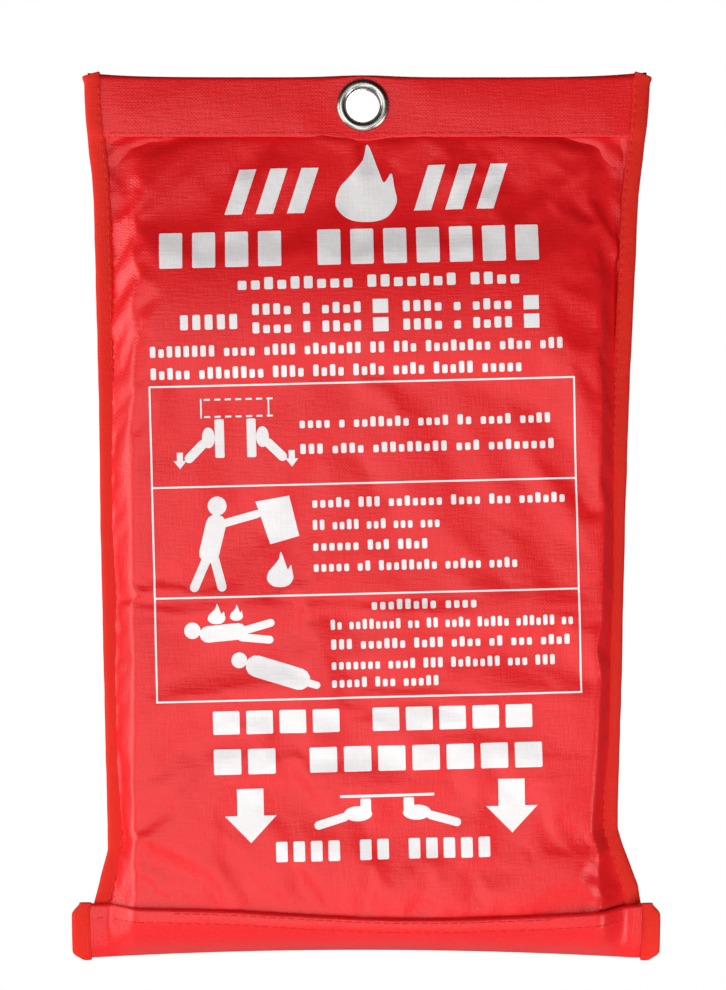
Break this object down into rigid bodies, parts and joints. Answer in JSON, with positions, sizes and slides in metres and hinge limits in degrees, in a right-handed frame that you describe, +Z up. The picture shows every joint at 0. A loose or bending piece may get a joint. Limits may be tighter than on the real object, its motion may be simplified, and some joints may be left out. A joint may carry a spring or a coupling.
{
  "type": "fire blanket in a soft hanging pouch",
  "caption": "Flat fabric pouch hung from a metal eyelet, with a folded fire blanket that slides out past a bottom flap when its pull tapes are drawn.",
  "frame": {"origin": "centre of the hanging eyelet's bore, in the middle plane of the pouch", "axes": "+Z up, +Y towards the wall, the printed front faces -Y, +X to the viewer's right"},
  "size_m": [0.1938, 0.0273, 0.2906],
  "materials": {
    "coated_fabric": "satin coated weave",
    "binding_tape": "matte woven tape",
    "red_thread": "matte",
    "hook_and_loop": "matte",
    "nickel_plate": "polished nickel",
    "glass_cloth": "silky glass weave",
    "white_thread": "matte",
    "tape_webbing": "matte webbing",
    "tape_thread": "matte"
  },
  "bodies": {
    "pouch": {"back_panel": "coated_fabric", "front_panel": "coated_fabric", "header_band": "coated_fabric", "side_binding_left": "binding_tape", "side_binding_right": "binding_tape", "loop_strip": "hook_and_loop", "eyelet_barrel": "nickel_plate", "eyelet_washer": "nickel_plate", "header_seam": "red_thread", "side_seam_left": "red_thread", "side_seam_right": "red_thread", "loop_strip_seam": "red_thread"},
    "flap_base": {"flap_base": "coated_fabric"},
    "flap_front": {"flap_front": "coated_fabric", "flap_binding_left": "binding_tape", "flap_binding_right": "binding_tape", "hook_strip": "hook_and_loop", "flap_hem_seam": "red_thread", "hook_strip_seam": "red_thread", "flap_binding_seams": "red_thread"},
    "blanket": {"folded_blanket": "glass_cloth", "blanket_hem_stitching": "white_thread", "tape_anchor_left": "tape_webbing", "tape_anchor_right": "tape_webbing"},
    "tape_left": {"pull_tape_left": "tape_webbing", "tape_stitching_left": "tape_thread"},
    "tape_right": {"pull_tape_right": "tape_webbing", "tape_stitching_right": "tape_thread"}
  },
  "joints": [
    {"name": "blanket_slide", "type": "slide", "parent": "pouch", "child": "blanket", "axis": [0, 0, -1], "range_m": [0, 0.27], "deforming": ["flap_base", "flap_front", "flap_binding_left", "flap_binding_right", "hook_strip", "flap_hem_seam", "hook_strip_seam", "flap_binding_seams"]},
    {"name": "flap_base_fold", "type": "hinge", "parent": "pouch", "child": "flap_base", "pos_m": [0, 0.0121, -0.264], "axis": [1, 0, 0], "range_deg": [0, 41]},
    {"name": "flap_front_fold", "type": "hinge", "parent": "flap_base", "child": "flap_front", "pos_m": [0, 0.0015, -0.281], "axis": [1, 0, 0], "range_deg": [0, 89.7]},
    {"name": "tape_left_unfold", "type": "hinge", "parent": "blanket", "child": "tape_left", "pos_m": [-0.062, 0.00185, -0.269], "axis": [0.7071, 0, -0.7071], "range_deg": [0, 181]},
    {"name": "tape_right_unfold", "type": "hinge", "parent": "blanket", "child": "tape_right", "pos_m": [0.062, 0.00185, -0.269], "axis": [0.7071, 0, 0.7071], "range_deg": [0, 181]}
  ],
  "couplings": [
    {"joint": "flap_base_fold", "follows": "blanket_slide", "rad_per_m": 2.5857},
    {"joint": "flap_front_fold", "follows": "blanket_slide", "rad_per_m": 5.7337},
    {"joint": "tape_left_unfold", "follows": "blanket_slide", "rad_per_m": 11.636},
    {"joint": "tape_right_unfold", "follows": "blanket_slide", "rad_per_m": 11.636}
  ]
}
